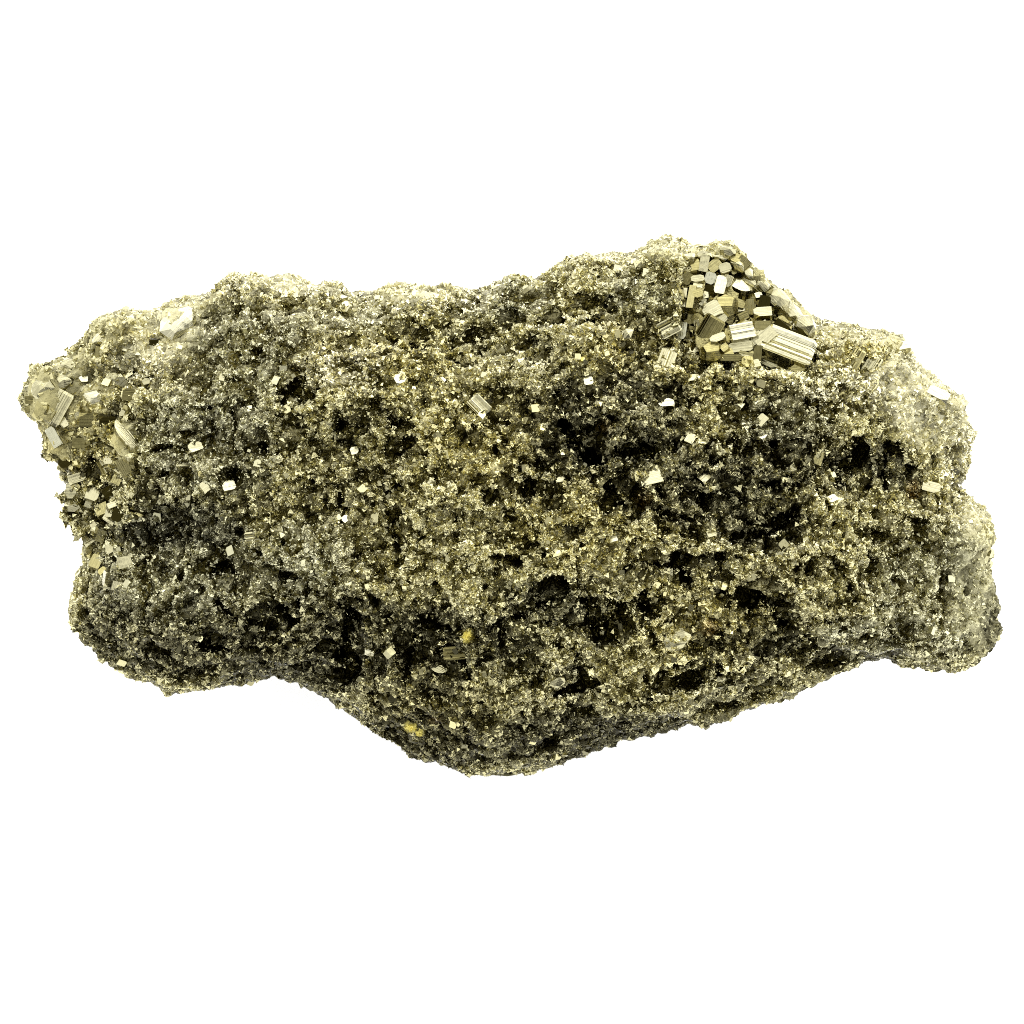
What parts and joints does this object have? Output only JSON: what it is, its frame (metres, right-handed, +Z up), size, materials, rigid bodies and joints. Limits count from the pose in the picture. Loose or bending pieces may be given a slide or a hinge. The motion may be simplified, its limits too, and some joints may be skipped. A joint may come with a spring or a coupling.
{
  "type": "raw pyrite",
  "caption": "Rough lump of granular pyrite with hollows, ledges and a pocket of larger striated crystals, resting on a small flat spot.",
  "frame": {"origin": "centre of the footprint of the whole stone, at the level of the flat spot it rests on", "axes": "+X along the length of the stone, +Y to its back, +Z up; the broad face looks forward and up"},
  "size_m": [0.0802, 0.0408, 0.0363],
  "materials": {
    "granular_pyrite": "rough, glittering, brassy to olive",
    "crystal_pyrite": "shiny metallic, pale brass, finely striated"
  },
  "bodies": {
    "root": {"pyrite_mass": "granular_pyrite", "pocket_crystals": "crystal_pyrite"}
  },
  "joints": []
}
